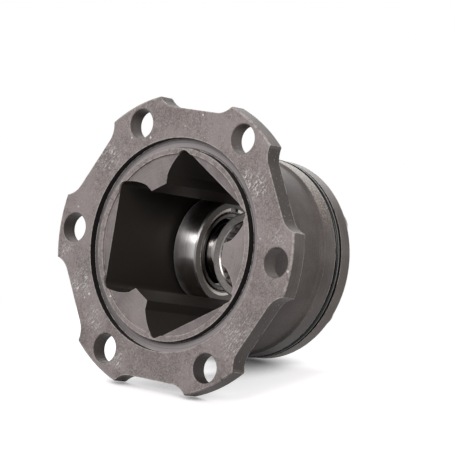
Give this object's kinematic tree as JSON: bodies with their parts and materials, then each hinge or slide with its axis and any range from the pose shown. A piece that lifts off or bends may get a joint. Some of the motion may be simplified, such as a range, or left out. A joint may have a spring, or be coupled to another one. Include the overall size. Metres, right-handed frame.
{
  "type": "cv joint",
  "caption": "Plunging tripod drive-shaft joint: flanged housing with roller tracks, splined spider with ball trunnions and needle-bearing rollers, rear seal ring",
  "frame": {"origin": "centre of the flange's bolt circle, in the plane of the flange face", "axes": "the joint axis is Y: -Y looks out of the flange face, +Y runs back through the housing to the spider and the drive shaft; +X points at one bolt hole and the middle of one rib, -X at one track; Z completes the right-handed frame"},
  "size_m": [0.108, 0.0728, 0.1028],
  "materials": {
    "housing_steel": "machined forging with a thin dark grey-brown phosphate coat",
    "spider_steel": "case-hardened steel, ground trunnions",
    "roller_steel": "bearing steel, ground and polished",
    "bearing_steel": "bearing steel, ground",
    "spring_steel": "blued spring steel",
    "seal_rubber": "black rubber, satin"
  },
  "bodies": {
    "housing": {"housing": "housing_steel", "rear_seal_ring": "seal_rubber"},
    "ring_a": {"inner_ring_a": "bearing_steel"},
    "spider": {"spider": "spider_steel"},
    "ring_b": {"inner_ring_b": "bearing_steel"},
    "ring_c": {"inner_ring_c": "bearing_steel"},
    "roller_a": {"roller_a": "roller_steel", "washer_in_a": "bearing_steel", "washer_out_a": "bearing_steel", "snap_in_a": "spring_steel", "snap_out_a": "spring_steel"},
    "needles_a": {"needles_a": "bearing_steel"},
    "roller_b": {"roller_b": "roller_steel", "washer_in_b": "bearing_steel", "washer_out_b": "bearing_steel", "snap_in_b": "spring_steel", "snap_out_b": "spring_steel"},
    "needles_b": {"needles_b": "bearing_steel"},
    "roller_c": {"roller_c": "roller_steel", "washer_in_c": "bearing_steel", "washer_out_c": "bearing_steel", "snap_in_c": "spring_steel", "snap_out_c": "spring_steel"},
    "needles_c": {"needles_c": "bearing_steel"}
  },
  "joints": [
    {"name": "plunge", "type": "slide", "parent": "housing", "child": "ring_a", "axis": [0, 1, 0], "range_m": [-0.027, 0]},
    {"name": "tilt", "type": "hinge", "parent": "ring_a", "child": "spider", "pos_m": [0, 0.053, 0], "axis": [1, 0, 0], "range_deg": [-15, 15]},
    {"name": "ring_b_shift", "type": "slide", "parent": "ring_a", "child": "ring_b", "axis": [0, 1, 0], "range_m": [-0.0051, 0.0051]},
    {"name": "ring_c_shift", "type": "slide", "parent": "ring_a", "child": "ring_c", "axis": [0, 1, 0], "range_m": [-0.0051, 0.0051]},
    {"name": "roller_a_spin", "type": "hinge", "parent": "ring_a", "child": "roller_a", "pos_m": [0, 0.053, 0], "axis": [-1, 0, 0], "continuous": true},
    {"name": "needles_a_spin", "type": "hinge", "parent": "ring_a", "child": "needles_a", "pos_m": [0, 0.053, 0], "axis": [-1, 0, 0], "continuous": true},
    {"name": "roller_b_spin", "type": "hinge", "parent": "ring_b", "child": "roller_b", "pos_m": [0, 0.053, 0], "axis": [0.5, 0, 0.866], "continuous": true},
    {"name": "needles_b_spin", "type": "hinge", "parent": "ring_b", "child": "needles_b", "pos_m": [0, 0.053, 0], "axis": [0.5, 0, 0.866], "continuous": true},
    {"name": "roller_c_spin", "type": "hinge", "parent": "ring_c", "child": "roller_c", "pos_m": [0, 0.053, 0], "axis": [0.5, 0, -0.866], "continuous": true},
    {"name": "needles_c_spin", "type": "hinge", "parent": "ring_c", "child": "needles_c", "pos_m": [0, 0.053, 0], "axis": [0.5, 0, -0.866], "continuous": true}
  ],
  "couplings": [
    {"joint": "ring_b_shift", "follows": "tilt", "m_per_rad": -0.019222},
    {"joint": "ring_c_shift", "follows": "tilt", "m_per_rad": 0.019222},
    {"joint": "needles_a_spin", "follows": "roller_a_spin", "ratio": 0.5306},
    {"joint": "needles_b_spin", "follows": "roller_b_spin", "ratio": 0.5306},
    {"joint": "needles_c_spin", "follows": "roller_c_spin", "ratio": 0.5306}
  ]
}
